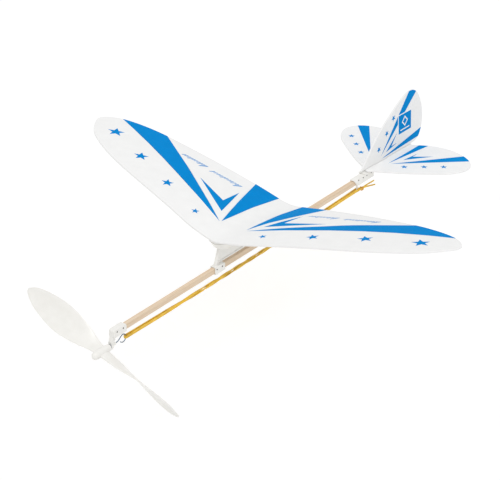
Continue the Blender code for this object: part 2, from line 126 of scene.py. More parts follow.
# Saddle under the wing, and the lip in front of it. Depths are below the wing's upper surface.
SADDLE_TOP = WING_THICKNESS + GAP
SADDLE_THICKNESS = 1.2
LIP_HALF_WIDTH = 14.5
LIP_TOP = 2.75
LIP_DEPTH = 8.5                # its own height
LIP_THICKNESS = 1.2
LIP_Y = -43.65                 # front face, on the plane of symmetry
LIP_BOW = 0.03
LIP_UPRIGHT = 3.3              # depth from which it slopes back
LIP_SLOPE = 0.65

# Tail.
TAIL_THICKNESS = 1.8
STAB_Z = 6.36
STAB_Y = 241.5
STAB_SLOPE = -0.0313
STAB_OFFSET = 2.5
STAB_EDGE = [(0, 203.0), (8, 208.4), (30, 222.2), (52, 239.0), (69.2, 254.2), (77.6, 272.0),
             (73.4, 287.0), (59.4, 297.4), (40, 302.0), (20, 298.0), (5, 289.4), (0, 287.0)]
FIN_EDGE = [(196.5, 8.2), (210.3, 24.1), (222.1, 36.4), (240.0, 50.0), (264.0, 64.4), (280.0, 69.4),
            (292.5, 64.8), (301.5, 52.0), (306.4, 36.0), (305.6, 19.0), (300.2, 8.6), (293.0, 5.4)]
TAB_FRONT, TAB_REAR = 222.0, 242.0
TAB_DEPTH = 5.0

# Thrust line, propeller and wire.
DOWN_THRUST = math.radians(1.0)
HOOK_CENTRE = Vector((0.0, -174.6, -11.7))
HOOK_RADIUS = 4.0
WIRE_RADIUS = 0.5
BORE_RADIUS = 0.62
BOSS_RADIUS = 1.7
BOSS_FRONT, BOSS_REAR = -17.9, -10.8   # on the thrust line, from the hook's centre
HUB_REAR = -19.1               # on the thrust line, from the hook's centre
PROP_CENTRE = -28.5
PROP_RADIUS = 93.9
PROP_PITCH = 236.0
PROP_CAMBER = 0.05
BLADE_ANGLE = math.radians(159.5)
HALF_CHORD = [(2.0, 6.0), (8, 6.6), (14, 7.8), (24, 10.2), (45, 13.8), (63, 13.4), (79, 10.4),
              (88, 6.6), (PROP_RADIUS, 1.6)]

# Rubber strip.
STRIP_WIDTH = 2.8
STRIP_THICKNESS = 1.3
BAND_AT_HOOK = 1.35            # half the distance between the strands
BAND_AT_POST = 1.6
BAND_WOUND = 0.9
BAND_TURNS = 2.5
POST_Y = 190.5
POST_RADIUS = 0.8
BAND_POST_Z = -10.4
BAND_SAG = 2.0
KNOT = Vector((0.0, 199.6, -12.4))

# Print, in each sheet's own flat coordinates. Each wedge is its apex and its two far corners.
WING_WEDGES = [((16.2, -15.1), (154.2, 70.8), (207.7, 60.7)), ((15.2, -13.8), (12.2, 76.8), (41.7, 75.9))]
WING_CHEVRON = [(26.2, 0.0), (78.0, 30.7), (37.8, 17.0), (38.5, 44.5)]
WING_STARS = [(41.7, -21.3, 4.3), (89.4, -6.6, 6.5), (137.4, 9.8, 7.8), (185.8, 28.0, 9.2)]
WING_DASH_ROWS = [((-44.2, 58.1), (-79.2, 54.9)), ((-87.1, 56.6), (-116.8, 54.6)),
                  ((118.8, 61.6), (83.3, 54.5)), ((75.7, 55.1), (45.4, 49.5))]
STAB_WEDGES = [((9.9, 231.7), (9.4, 291.1), (17.9, 296.5)), ((12.0, 232.2), (60.8, 298.8), (72.0, 291.9))]
STAB_CHEVRON = [(17.0, 248.9), (36.3, 276.3), (20.1, 262.1), (20.0, 271.6)]
STAB_STARS = [(27.2, 235.7, 4.0), (42.8, 249.2, 4.0), (58.35, 262.4, 4.0)]
FIN_WEDGES = [((231.3, 12.1), (279.5, 70.3), (292.0, 64.3)), ((231.6, 8.5), (300.6, 17.7), (298.4, 9.4))]
FIN_CHEVRON = [(240.3, 13.1), (261.2, 16.9), (250.2, 16.5), (260.0, 28.7)]
FIN_STARS = [(227.1, 21.4, 3.8), (240.5, 34.8, 3.8), (251.8, 48.2, 3.8)]
FIN_PANEL = [(261.3, 46.8), (284.5, 46.1), (285.8, 24.7), (263.0, 24.9)]

SHEET_EDGE = 0.4               # rounding of a sheet's cut edge
SHEET_RIM_STEPS = 3
SHEET_SUPPORT = 0.45           # width of the narrow faces next to that rounding


# ---------------------------------------------------------------- flat geometry

def spline(points, steps):
    """Open Catmull-Rom curve through points of any dimension."""
    last = len(points) - 1
    curve = []
    for i in range(last):
        a, b, c, d = (Vector(points[min(max(i + k, 0), last)]) for k in (-1, 0, 1, 2))
        for step in range(steps):
            u = step / steps
            curve.append(0.5 * (2 * b + (c - a) * u + (2 * a - 5 * b + 4 * c - d) * u ** 2
                                + (3 * b - a - 3 * c + d) * u ** 3))
    curve.append(Vector(points[-1]))
    return [tuple(p) for p in curve]


def mirrored(half):
    """Closed outline from the half at s >= 0, which starts and ends on s = 0."""
    return half + [(-s, t) for s, t in reversed(half[1:-1])]


def flipped(polygon):
    return [(-s, t) for s, t in polygon]


def counterclockwise(polygon):
    area = sum(a[0] * b[1] - b[0] * a[1] for a, b in zip(polygon, polygon[1:] + polygon[:1]))
    return list(polygon) if area > 0 else list(reversed(polygon))


def outward(before, here, after):
    """Mitred outward direction at a corner of a loop that has its material on the left."""
    first = (Vector(here) - Vector(before)).normalized()
    second = (Vector(after) - Vector(here)).normalized()
    both = Vector((first.y + second.y, -first.x - second.x))
    return both * min(2.0 / max(both.length_squared, 1e-6), 1.5)


def grown(polygon, distance):
    """Counterclockwise polygon moved outwards, or inwards when distance is negative."""
    loop = counterclockwise(polygon)
    moved = []
    for i, here in enumerate(loop):
        away = outward(loop[i - 1], here, loop[(i + 1) % len(loop)])
        moved.append(tuple(Vector(here) + away * distance))
    return moved


def inside(polygon, s, t):
    hit = False
    for (s0, t0), (s1, t1) in zip(polygon, polygon[1:] + polygon[:1]):
        if (t0 > t) != (t1 > t) and s < (s1 - s0) * (t - t0) / (t1 - t0) + s0:
            hit = not hit
    return hit


def wedge(apex, left, right, reach=1.12):
    """Stripe that widens from its apex, run past the sheet's edge, which then trims it."""
    start = Vector(apex)
    return [apex, tuple(start + (Vector(left) - start) * reach),
            tuple(start + (Vector(right) - start) * reach)]


def star(s, t, radius, heading):
    """Five-pointed star with one tip along the heading, in degrees."""
    corners = []
    for i in range(10):
        reach = radius if i % 2 == 0 else radius * 0.42
        angle = math.radians(heading + 36 * i)
        corners.append((s + reach * math.cos(angle), t + reach * math.sin(angle)))
    return corners


def dash_row(start, end):
    """Row of slanted dashes, the first one taller, in place of a printed word."""
    start, end = Vector(start), Vector(end)
    along = (end - start).normalized()
    across = Vector((0.0, -1.0))
    count = round((end - start).length / 3.1)
    dashes = []
    for i in range(count):
        foot = start + (end - start) * ((i + 0.5) / count)
        height = 7.2 if i == 0 else (5.0 if i % 4 == 2 else 3.6)
        lean = along * (0.75 * height)
        half = along * (1.3 if i == 0 else 0.95)
        top = foot + across * height + lean
        dashes.append([tuple(p) for p in (foot - half, foot + half, top + half * 0.7, top - half * 0.7)])
    return dashes


# ---------------------------------------------------------------- meshes

def new_mesh(name, verts, faces, slots=None):
    mesh = bpy.data.meshes.new(name)
    mesh.from_pydata([Vector(v) * MM for v in verts], [], faces)
    if slots:
        mesh.polygons.foreach_set("material_index", slots)
    mesh.update()
    return mesh


def loft(name, rings):
    """Closed mesh through rings of points. A ring of one point closes an end to a tip."""
    verts, starts = [], []
    for ring in rings:
        starts.append(len(verts))
        verts.extend(ring)
    faces = []
    for r in range(len(rings) - 1):
        a, b, n, m = starts[r], starts[r + 1], len(rings[r]), len(rings[r + 1])
        for k in range(max(n, m)):
            nxt = (k + 1) % max(n, m)
            if n == 1:
                faces.append((a, b + k, b + nxt))
            elif m == 1:
                faces.append((a + k, b, a + nxt))
            else:
                faces.append((a + k, b + k, b + nxt, a + nxt))
    if len(rings[0]) > 1:
        faces.append(tuple(range(len(rings[0]))))
    if len(rings[-1]) > 1:
        faces.append(tuple(starts[-1] + k for k in range(len(rings[-1])))[::-1])
    mesh = new_mesh(name, verts, faces)
    bm = bmesh.new()
    bm.from_mesh(mesh)
    bmesh.ops.recalc_face_normals(bm, faces=bm.faces[:])
    bm.to_mesh(mesh)
    bm.free()
    return mesh


def circle(radius, count):
    return [(radius * math.cos(2 * math.pi * k / count), radius * math.sin(2 * math.pi * k / count))
            for k in range(count)]


def strip_section(width, thickness, corner=0.42, steps=3):
    """Rounded rectangle: its first coordinate runs across the thickness."""
    points = []
    for sx, sy, turn in ((1, 1, 0), (-1, 1, 90), (-1, -1, 180), (1, -1, 270)):
        cx, cy = sx * (thickness / 2 - corner), sy * (width / 2 - corner)
        for k in range(steps + 1):
            angle = math.radians(turn + 90 * k / steps)
            points.append((cx + corner * math.cos(angle), cy + corner * math.sin(angle)))
    return points


def sweep(name, path, section, facing=None, scales=None):
    """Section swept along a path. facing gives the first coordinate's direction at each point."""
    path = [Vector(p) for p in path]
    rings = []
    side = None
    for i, here in enumerate(path):
        along = (path[min(i + 1, len(path) - 1)] - path[max(i - 1, 0)]).normalized()
        if facing:
            side = Vector(facing[i])
        elif side is None:
            side = along.orthogonal()
        side = (side - along * side.dot(along)).normalized()
        other = along.cross(side)
        scale = scales[i] if scales else 1.0
        rings.append([here + (side * a + other * b) * scale for a, b in section])
    return loft(name, rings)


def slab(name, outline, low, high, rounding=0.22):
    """Upright plate from x = low to high with a (y, z) outline and rounded edges."""
    loop = counterclockwise(outline)
    bm = bmesh.new()
    near = [bm.verts.new(Vector((high, y, z)) * MM) for y, z in loop]
    far = [bm.verts.new(Vector((low, y, z)) * MM) for y, z in loop]
    bm.faces.new(near)
    bm.faces.new(far[::-1])
    for i in range(len(loop)):
        bm.faces.new((near[i - 1], far[i - 1], far[i], near[i]))
    bmesh.ops.recalc_face_normals(bm, faces=bm.faces[:])
    if rounding:
        sharp = [e for e in bm.edges if e.calc_face_angle(0.0) > math.radians(20)]
        bmesh.ops.bevel(bm, geom=sharp, offset=rounding * MM, segments=2, profile=0.5, affect="EDGES",
                        clamp_overlap=True)
    mesh = bpy.data.meshes.new(name)
    bm.to_mesh(mesh)
    bm.free()
    return mesh


def block(name, low, high):
    return slab(name, [(low[1], low[2]), (high[1], low[2]), (high[1], high[2]), (low[1], high[2])],
                low[0], high[0], rounding=0.0)


def rod(name, radius, start, end, count=24):
    return sweep(name, [start, end], circle(radius, count))


def close_cracks(mesh):
    """Fill the sliver faces that a Boolean can drop along a rounded edge."""
    bm = bmesh.new()
    bm.from_mesh(mesh)
    open_edges = [edge for edge in bm.edges if edge.is_boundary]
    if open_edges:
        bmesh.ops.holes_fill(bm, edges=open_edges, sides=0)
        bmesh.ops.recalc_face_normals(bm, faces=bm.faces[:])
        bm.to_mesh(mesh)
    bm.free()


def joined(name, base, added=(), cut=()):
    """Base mesh with the added ones united and then the cut ones taken away."""
    holder = bpy.data.objects.new(name, base)
    bpy.context.scene.collection.objects.link(holder)
    tools = []
    for operation, meshes in (("UNION", added), ("DIFFERENCE", cut)):
        for mesh in meshes:
            tool = bpy.data.objects.new(mesh.name, mesh)
            bpy.context.scene.collection.objects.link(tool)
            step = holder.modifiers.new(operation.lower(), "BOOLEAN")
            step.operation = operation
            step.object = tool
            tools.append(tool)
    bpy.context.view_layer.update()
    result = bpy.data.meshes.new_from_object(holder.evaluated_get(bpy.context.evaluated_depsgraph_get()))
    result.name = name
    for tool in tools + [holder]:
        bpy.data.objects.remove(tool)
    result.materials.clear()
    close_cracks(result)
    return result


def cut_sheet(outline, marks, spacing, hole=None, bend=None):
    """Triangles of a flat sheet, cut along its print.

    Returns the points, the triangles and for each triangle 1 if it is printed. Later marks
    cover earlier ones. bend is the half width, about s = 0, that gets closer points.
    """
    inner = grown(outline, -SHEET_EDGE)
    support = grown(outline, -SHEET_EDGE - SHEET_SUPPORT)
    faces, edges, verts = [], [], []

    def add_loop(points, closed_face):
        ids = list(range(len(verts), len(verts) + len(points)))
        verts.extend(Vector(p) for p in points)
        if closed_face:
            faces.append(ids)
        else:
            edges.extend(zip(ids, ids[1:] + ids[:1]))

    add_loop(inner, True)
    for polygon, _ in marks:
        add_loop(counterclockwise(polygon), True)
    if hole:
        add_loop(counterclockwise(hole), True)
    hole_id = len(faces) - 1 if hole else None
    add_loop(support, False)

    limit = grown(outline, -SHEET_EDGE - SHEET_SUPPORT - 0.25 * spacing)
    s_low, s_high = min(p[0] for p in outline), max(p[0] for p in outline)
    t_low, t_high = min(p[1] for p in outline), max(p[1] for p in outline)
    row_step = spacing * math.sqrt(3) / 2
    for row in range(int((t_high - t_low) / row_step) + 1):
        t = t_low + row * row_step
        shift = 0.5 * (row % 2)
        first = math.floor(s_low / spacing)
        columns = [(k + shift) * spacing for k in range(first, math.ceil(s_high / spacing) + 1)]
        if bend:
            near = [bend * k / 5 for k in range(-5, 6)]
            columns = [s for s in columns if abs(s) > bend * 1.2] + near
        verts.extend(Vector((s, t)) for s in columns if inside(limit, s, t))

    out = delaunay_2d_cdt(verts, edges, faces, 1, 1e-4, True)
    points, triangles, origins = out[0], out[2], out[5]
    kept, printed = [], []
    for triangle, origin in zip(triangles, origins):
        if 0 not in origin or (hole and hole_id in origin):
            continue
        over = [i for i in origin if 1 <= i <= len(marks)]
        kept.append(tuple(triangle))
        printed.append(1 if over and marks[max(over) - 1][1] else 0)
    return [tuple(p) for p in points], kept, printed


def sheet(name, outline, place, thickness, marks=(), spacing=4.5, hole=None, bend=None, both_sides=False):
    """Sheet with a rounded edge. place(a, b, drop) maps its flat coordinates into space."""
    points, triangles, printed = cut_sheet(outline, marks, spacing, hole, bend)
    count = len(points)
    verts = [place(a, b, 0.0) for a, b in points] + [place(a, b, thickness) for a, b in points]
    faces = list(triangles) + [tuple(i + count for i in reversed(t)) for t in triangles]
    slots = list(printed) + (list(printed) if both_sides else [0] * len(printed))

    owner = {}
    for number, (a, b, c) in enumerate(triangles):
        owner.update({(a, b): number, (b, c): number, (c, a): number})
    rim = {a: b for a, b in owner if (b, a) not in owner}
    before = {b: a for a, b in rim.items()}
    quarter = [math.pi / 2 * k / SHEET_RIM_STEPS for k in range(1, SHEET_RIM_STEPS + 1)]
    rounding = [(SHEET_EDGE * math.sin(q), SHEET_EDGE * (1 - math.cos(q))) for q in quarter]
    rings = rounding + [(out, thickness - drop) for out, drop in reversed(rounding)]
    columns = {}
    for a, b in rim.items():
        away = outward(points[before[a]], points[a], points[b])
        columns[a] = [a]
        for out, drop in rings:
            where = Vector(points[a]) + away * out
            columns[a].append(len(verts))
            verts.append(place(where.x, where.y, drop))
        columns[a].append(a + count)
    for a, b in rim.items():
        for k in range(len(rings) + 1):
            faces.append((columns[b][k], columns[a][k], columns[a][k + 1], columns[b][k + 1]))
            on_face = k == 0 or (both_sides and k == len(rings))
            slots.append(printed[owner[(a, b)]] if on_face else 0)
    mesh = new_mesh(name, verts, faces, slots)
    bm = bmesh.new()
    bm.from_mesh(mesh)
    loose = [v for v in bm.verts if not v.link_faces]
    bmesh.ops.delete(bm, geom=loose, context="VERTS")
    bm.to_mesh(mesh)
    bm.free()
    return mesh


# ---------------------------------------------------------------- materials

class Nodes:
    """Short way to add and join shader nodes."""

    def __init__(self, name, roughness, metallic=0.0):
        self.material = bpy.data.materials.new(name)
        self.material.use_nodes = True
        self.tree = self.material.node_tree
        self.shader = self.tree.nodes["Principled BSDF"]
        self.shader.inputs["Roughness"].default_value = roughness
        self.shader.inputs["Metallic"].default_value = metallic
        self.coordinates = self.add("ShaderNodeTexCoord").outputs["Object"]

    def add(self, kind, **inputs):
        node = self.tree.nodes.new(kind)
        for key, value in inputs.items():
            socket = node.inputs[key.replace("_", " ")]
            if isinstance(value, bpy.types.NodeSocket):
                self.join(value, socket)
            else:
                socket.default_value = value
        return node

    def join(self, source, target):
        self.tree.links.new(source, target)

    def stretched(self, scale):
        """Object coordinates multiplied by a scale for each axis, in 1/metre."""
        return self.add("ShaderNodeMapping", Vector=self.coordinates, Scale=scale).outputs["Vector"]

    def noise(self, scale, detail=2.0, vector=None, roughness=0.5):
        node = self.add("ShaderNodeTexNoise", Vector=vector or self.coordinates, Scale=scale,
                        Detail=detail, Roughness=roughness)
        return node.outputs["Fac"]

    def ramp(self, factor, stops):
        node = self.add("ShaderNodeValToRGB", Fac=factor)
        ramp = node.color_ramp
        while len(ramp.elements) < len(stops):
            ramp.elements.new(0.5)
        for element, (place, color) in zip(ramp.elements, stops):
            element.position = place
            element.color = (*color, 1.0)
        return node.outputs["Color"]

    def sum(self, *terms):
        """Weighted sum of (socket, weight) pairs."""
        total = None
        for socket, weight in terms:
            node = self.tree.nodes.new("ShaderNodeMath")
            node.operation = "MULTIPLY_ADD"
            self.join(socket, node.inputs[0])
            node.inputs[1].default_value = weight
            if total:
                self.join(total, node.inputs[2])
            else:
                node.inputs[2].default_value = 0.0
            total = node.outputs[0]
        return total

    def set(self, name, value):
        socket = self.shader.inputs[name]
        if isinstance(value, bpy.types.NodeSocket):
            self.join(value, socket)
        else:
            socket.default_value = value

    def bump(self, height, depth):
        """Surface relief: depth is the height of a full step of the pattern, in metres."""
        node = self.add("ShaderNodeBump", Height=height, Strength=1.0, Distance=depth)
        self.join(node.outputs["Normal"], self.shader.inputs["Normal"])

    def translucent(self, weight, radius_mm):
        self.set("Subsurface Weight", weight)
        self.set("Subsurface Radius", [radius_mm] * 3)
        self.set("Subsurface Scale", MM)


def foam_relief(nodes):
    """Fused beads under a pressed skin, and slow unevenness of the sheet."""
    beads = nodes.add("ShaderNodeTexVoronoi", Vector=nodes.coordinates, Scale=520.0)
    beads.feature = "SMOOTH_F1"
    fine = nodes.noise(2400.0, 3.0)
    slow = nodes.noise(45.0, 2.0)
    return nodes.sum((beads.outputs["Distance"], 0.5), (fine, 0.35), (slow, 1.6))


def make_foam(name, low, high, roughness, specular):
    nodes = Nodes(name, roughness)
    nodes.set("Specular IOR Level", specular)
    mottle = nodes.sum((nodes.noise(90.0, 3.0), 0.55), (nodes.noise(1500.0, 2.0), 0.45))
    nodes.set("Base Color", nodes.ramp(mottle, [(0.32, low), (0.68, high)]))
    rough = nodes.noise(700.0, 2.0)
    spread = nodes.add("ShaderNodeMapRange", Value=rough, To_Min=roughness - 0.06, To_Max=roughness + 0.06)
    nodes.set("Roughness", spread.outputs["Result"])
    nodes.bump(foam_relief(nodes), 0.00006)
    return nodes.material


def make_plastic():
    nodes = Nodes("moulded_white_plastic", 0.34)
    cloud = nodes.noise(140.0, 3.0)
    nodes.set("Base Color", nodes.ramp(cloud, [(0.3, (0.79, 0.78, 0.745)), (0.7, (0.825, 0.815, 0.785))]))
    nodes.translucent(0.25, 1.0)
    flow = nodes.noise(1.0, 3.0, nodes.stretched((260.0, 90.0, 260.0)))
    nodes.bump(nodes.sum((flow, 1.0), (nodes.noise(1800.0, 2.0), 0.2)), 0.00002)
    return nodes.material


def make_wood():
    nodes = Nodes("bare_wood_strip", 0.62)
    grain = nodes.noise(1.0, 4.0, nodes.stretched((900.0, 14.0, 900.0)), 0.6)
    pores = nodes.noise(1.0, 2.0, nodes.stretched((2600.0, 95.0, 2600.0)), 0.6)
    bands = nodes.noise(1.0, 1.0, nodes.stretched((260.0, 3.0, 260.0)))
    tone = nodes.sum((grain, 0.5), (pores, 0.3), (bands, 0.35))
    stops = [(0.38, (0.50, 0.335, 0.20)), (0.50, (0.65, 0.48, 0.325)), (0.62, (0.73, 0.585, 0.43)),
             (0.74, (0.77, 0.66, 0.51))]
    nodes.set("Base Color", nodes.ramp(tone, stops))
    nodes.bump(nodes.sum((grain, 0.6), (pores, 0.8)), 0.00012)
    return nodes.material


def make_rubber(name, stops):
    nodes = Nodes(name, 0.42)
    streaks = nodes.noise(1.0, 3.0, nodes.stretched((900.0, 60.0, 900.0)))
    cloud = nodes.noise(110.0, 2.0)
    tone = nodes.sum((streaks, 0.5), (cloud, 0.5))
    nodes.set("Base Color", nodes.ramp(tone, stops))
    nodes.translucent(0.4, 0.8)
    nodes.bump(streaks, 0.00008)
    return nodes.material


def make_steel(name, color, roughness):
    nodes = Nodes(name, roughness, 1.0)
    drawn = nodes.noise(1.0, 3.0, nodes.stretched((5000.0, 500.0, 5000.0)))
    dark = tuple(0.8 * c for c in color)
    nodes.set("Base Color", nodes.ramp(drawn, [(0.35, dark), (0.65, color)]))
    nodes.bump(drawn, 0.00002)
    return nodes.material


# ---------------------------------------------------------------- pieces

def add_piece(name, mesh, finishes, body, slot, *nodes, smooth=35.0):
    """Object in the frame's metres that rides on a body and stands for CAD nodes."""
    mesh.transform(Matrix.Translation(SHIFT))
    mesh.shade_smooth()
    mesh.set_sharp_from_angle(angle=math.radians(smooth))
    made = bpy.data.objects.new(name, mesh)
    bpy.context.scene.collection.objects.link(made)
    for finish in finishes:
        mesh.materials.append(finish)
    if body:
        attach(made, body)
    if nodes:
        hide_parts(*nodes)
    return made


def even_normals(piece):
    """Keep the large flat faces flat beside their rounded edges."""
    step = piece.modifiers.new("even_normals", "WEIGHTED_NORMAL")
    step.keep_sharp = True


def wing_point(s, t, drop=0.0):
    span = abs(s)
    lift = (CAMBER_SLOPE * t + CAMBER_CURVE * t ** 2 + CAMBER_REFLEX * t ** 3 + WASHOUT * span * t
            - TIP_DROOP * (span / HALF_SPAN) ** 3 - drop)
    reach = math.hypot(s, BEND_RADIUS)
    x = s * math.cos(DIHEDRAL) - lift * math.sin(DIHEDRAL) * s / reach
    z = WING_Z + reach * math.sin(DIHEDRAL) + lift * math.cos(DIHEDRAL)
    return x, t, z


def stab_top(y):
    return STAB_Z + STAB_SLOPE * (y - STAB_Y)


def on_thrust_line(distance):
    return HOOK_CENTRE + Vector((0, math.cos(DOWN_THRUST), math.sin(DOWN_THRUST))) * distance


def on_both_halves(polygons):
    return [(shape, True) for polygon in polygons for shape in (polygon, flipped(polygon))]


def make_wing(foam, ink):
    heading = -85.5
    marks = on_both_halves([wedge(*w) for w in WING_WEDGES] + [WING_CHEVRON]
                           + [star(s, t, r, heading) for s, t, r in WING_STARS])
    marks += [(dash, True) for row in WING_DASH_ROWS for dash in dash_row(*row)]
    mesh = sheet("wing_sheet", mirrored(spline(WING_EDGE, 8)), wing_point, WING_THICKNESS, marks,
                 spacing=4.5, bend=10.0)
    return add_piece("wing_sheet", mesh, (foam, ink), "wing_assembly", "foam_sheet", "wing")


def make_stabiliser(foam, ink):
    heading = -88.0
    marks = on_both_halves([wedge(*w) for w in STAB_WEDGES] + [STAB_CHEVRON]
                           + [star(s, y, r, heading) for s, y, r in STAB_STARS])
    outline = [(s + STAB_OFFSET, y) for s, y in mirrored(spline(STAB_EDGE, 8))]
    half = TAIL_THICKNESS / 2 + GAP
    front, rear = TAB_FRONT - GAP, TAB_REAR + GAP
    slot = [(-half, front), (half, front), (half, rear), (-half, rear)]
    mesh = sheet("stabiliser_sheet", outline, lambda s, y, drop: (s, y, stab_top(y) - drop), TAIL_THICKNESS,
                 marks, spacing=4.0, hole=grown(slot, SHEET_EDGE))
    return add_piece("stabiliser_sheet", mesh, (foam, ink), "airframe", "foam_sheet", "stabiliser")


def panel_point(u, v):
    """Point of the fin's panel: u runs from its front to its rear, v from its top down."""
    front_top, rear_top, rear_low, front_low = (Vector(p) for p in FIN_PANEL)
    return tuple(front_top.lerp(rear_top, u).lerp(front_low.lerp(rear_low, u), v))


def make_fin(foam, ink):
    """Fin with a plain panel: a diamond ring above a bar, without any mark or letters."""
    heading = -100.0
    marks = [(wedge(*w), True) for w in FIN_WEDGES] + [(FIN_CHEVRON, True)]
    marks += [(star(y, z, r, heading), True) for y, z, r in FIN_STARS]

    def diamond(reach_u, reach_v):
        return [panel_point(0.5 + du * reach_u, 0.42 + dv * reach_v)
                for du, dv in ((0, -1), (1, 0), (0, 1), (-1, 0))]

    bar = [panel_point(u, v) for u, v in ((0.14, 0.80), (0.86, 0.80), (0.86, 0.86), (0.14, 0.86))]
    marks += [(grown(FIN_PANEL, 1.2), False), (FIN_PANEL, True), (diamond(0.24, 0.29), False),
              (diamond(0.16, 0.19), True), (bar, False)]
    base = [(TAB_REAR, stab_top(TAB_REAR) + GAP), (TAB_REAR, stab_top(TAB_REAR) - TAB_DEPTH),
            (TAB_FRONT, stab_top(TAB_FRONT) - TAB_DEPTH), (TAB_FRONT, stab_top(TAB_FRONT) + GAP)]
    mesh = sheet("fin_sheet", spline(FIN_EDGE, 8) + base,
                 lambda y, z, drop: (TAIL_THICKNESS / 2 - drop, y, z),
                 TAIL_THICKNESS, marks, spacing=3.5, both_sides=True)
    return add_piece("fin_sheet", mesh, (foam, ink), "airframe", "foam_sheet", "fin")


def stick_pocket(front, rear):
    return block("pocket", (-POCKET_X, front, -POCKET_Z), (POCKET_X, rear, POCKET_Z))


def pin_holes(places, height):
    """Cutters for the pin holes in both sides of a sleeve."""
    inner, outer = SLEEVE_X - PIN_HOLE_DEPTH, SLEEVE_X + 1.0
    return [rod("pin_hole", PIN_HOLE_RADIUS, (side * inner, y, height), (side * outer, y, height))
            for y in places for side in (-1, 1)]


def paint_shade_in_pin_holes(mesh, places, height):
    """Give the faces inside the pin holes the second finish."""
    # The second material is near-black: it paints the shade inside each blind pin hole.
    for face in mesh.polygons:
        x, y, z = face.center / MM
        in_wall = SLEEVE_X - PIN_HOLE_DEPTH - 0.05 < abs(x) < SLEEVE_X - 0.03
        if in_wall and any(math.hypot(y - place, z - height) < PIN_HOLE_RADIUS + 0.02 for place in places):
            face.material_index = 1


def make_nose_bearing(plastic, painted_hole_shade):
    front, rear = NOSE_SLEEVE
    side = [(front, SLEEVE_Z - 1.2), (front + 1.2, SLEEVE_Z), (rear - 1.0, SLEEVE_Z),
            (rear, SLEEVE_Z - 1.4), (rear + 0.4, -SLEEVE_Z), (front + 0.8, -SLEEVE_Z),
            (front, -SLEEVE_Z + 0.8)]
    pillar = [(front + 0.2, -1.0), (-192.3, -7.5), (-192.3, -14.5), (-191.8, -15.0), (-189.6, -15.0),
              (-189.0, -14.5), (-188.6, -9.5), (-185.4, -3.0)]
    boss = rod("boss", BOSS_RADIUS, on_thrust_line(BOSS_FRONT), on_thrust_line(BOSS_REAR), 32)
    bore = rod("bore", BORE_RADIUS, on_thrust_line(-25.0), on_thrust_line(-5.0))
    mesh = joined("bearing_moulding", slab("sleeve", side, -SLEEVE_X, SLEEVE_X, SLEEVE_ROUND),
                  [slab("pillar", pillar, -1.9, 1.9, 0.3), boss],
                  [stick_pocket(STICK_FRONT - GAP, rear + 5.0), bore]
                  + pin_holes(NOSE_PIN_HOLES, PIN_HOLE_Z))
    paint_shade_in_pin_holes(mesh, NOSE_PIN_HOLES, PIN_HOLE_Z)
    made = add_piece("bearing_moulding", mesh, (plastic, painted_hole_shade), "airframe", "moulded_plastic",
                     "nose_bearing")
    even_normals(made)


def make_wing_fitting(plastic, painted_hole_shade):
    def lip_front(s):
        return LIP_Y + LIP_BOW * s * s

    saddle_outline = [(s, lip_front(s) + 0.6) for s in (-10, -7.5, -5, -2.5, 0, 2.5, 5, 7.5, 10)]
    saddle_outline += [(10, 44), (9, 46.6), (7, 48), (-7, 48), (-9, 46.6), (-10, 44)]
    saddle = sheet("saddle", saddle_outline, lambda s, t, drop: wing_point(s, t, SADDLE_TOP + drop),
                   SADDLE_THICKNESS, spacing=3.0)

    def lip_place(s, v, drop):
        """Bow-shaped, below the leading edge, sloping back towards the strut."""
        x, y, z = wing_point(s, lip_front(s))
        return x, y + LIP_SLOPE * max(0.0, v - LIP_UPRIGHT) + drop, z - v

    lip_outline = [(LIP_HALF_WIDTH * math.cos(a), LIP_DEPTH * math.sqrt(math.sin(a)) + LIP_TOP)
                   for a in (math.pi * i / 32 for i in range(33))]
    lip = sheet("lip", flipped(lip_outline), lip_place, LIP_THICKNESS, spacing=1.6)
    inside_saddle = SADDLE_TOP + SADDLE_THICKNESS / 2
    under = [(t, wing_point(0.0, t, inside_saddle)[2]) for t in range(44, -35, -6)]
    foot, strut_top, rail_z = 3.7, -35.4, 6.1
    strut = spline([(-42.4, foot), (-39.4, 12.2), (-36.6, 20.2),
                    (strut_top, wing_point(0.0, strut_top, inside_saddle)[2])], 8)
    clip_front, clip_rear = REAR_CLIP
    web = strut + under[::-1] + [(clip_rear - 2, rail_z), (clip_rear - 2, foot), (clip_front + 1, foot),
                                 (clip_front - 1, rail_z), (-35.0, rail_z), (-36.5, rail_z - 1.8),
                                 (-36.5, foot)]
    flange = strut + [(y + 1.1, z) for y, z in reversed(strut)]
    rail = [(-38.5, rail_z - 0.1), (clip_rear - 1.5, rail_z - 0.1), (clip_rear - 1.5, rail_z + 1.0),
            (-38.5, rail_z + 1.0)]
    added = [slab("web", web, -0.65, 0.65, 0.0), slab("flange", flange, -1.6, 1.6, 0.0),
             slab("rail", rail, -1.5, 1.5, 0.25), lip]
    for low, high in (FRONT_CLIP, REAR_CLIP):
        clip = [(low, -SLEEVE_Z), (high, -SLEEVE_Z), (high, SLEEVE_Z - 1.8),
                (high - 0.5, SLEEVE_Z - 0.5), (high - 1.8, SLEEVE_Z), (low, SLEEVE_Z)]
        added.append(slab("clip", clip, -SLEEVE_X, SLEEVE_X, SLEEVE_ROUND))
    passages = [stick_pocket(low - 3, high + 3) for low, high in (FRONT_CLIP, REAR_CLIP)]
    mesh = joined("wing_fitting", saddle, added, passages + pin_holes(CLIP_PIN_HOLES, PIN_HOLE_Z))
    paint_shade_in_pin_holes(mesh, CLIP_PIN_HOLES, PIN_HOLE_Z)
    made = add_piece("wing_fitting", mesh, (plastic, painted_hole_shade), "wing_assembly", "moulded_plastic",
                     "wing_mount")
    even_normals(made)


